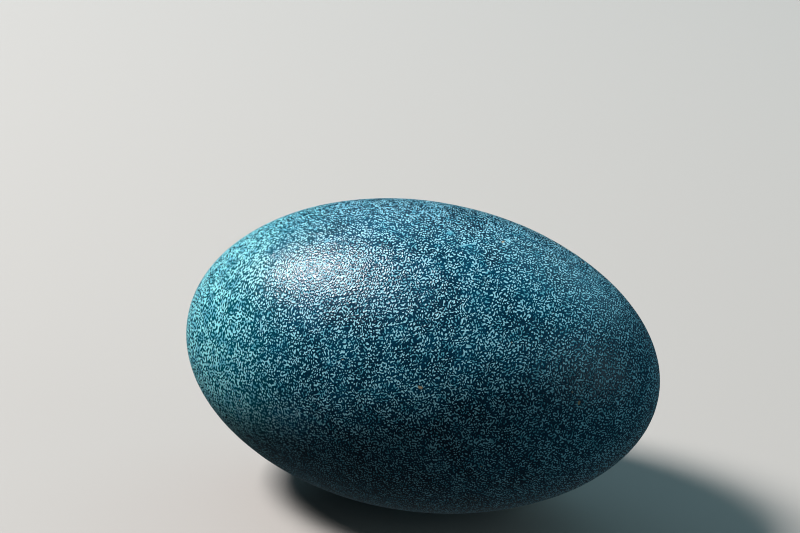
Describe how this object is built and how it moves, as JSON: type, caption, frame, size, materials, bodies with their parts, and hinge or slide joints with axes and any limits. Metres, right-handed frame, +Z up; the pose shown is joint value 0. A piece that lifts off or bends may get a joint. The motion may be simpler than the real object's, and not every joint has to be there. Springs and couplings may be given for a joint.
{
  "type": "emu egg",
  "caption": "Emu egg lying on its side: a long, nearly even-ended oval with a dark teal granular shell, at rest on a small flat spot.",
  "frame": {"origin": "on the surface that the egg rests on, under the middle of the egg", "axes": "+X along the long axis towards the slimmer end, +Z up, +Y across the egg"},
  "size_m": [0.137, 0.0864, 0.0861],
  "materials": {
    "shell": "satin, finely granular eggshell: a raised near-black teal network over a light turquoise layer"
  },
  "bodies": {
    "root": {"egg": "shell"}
  },
  "joints": []
}
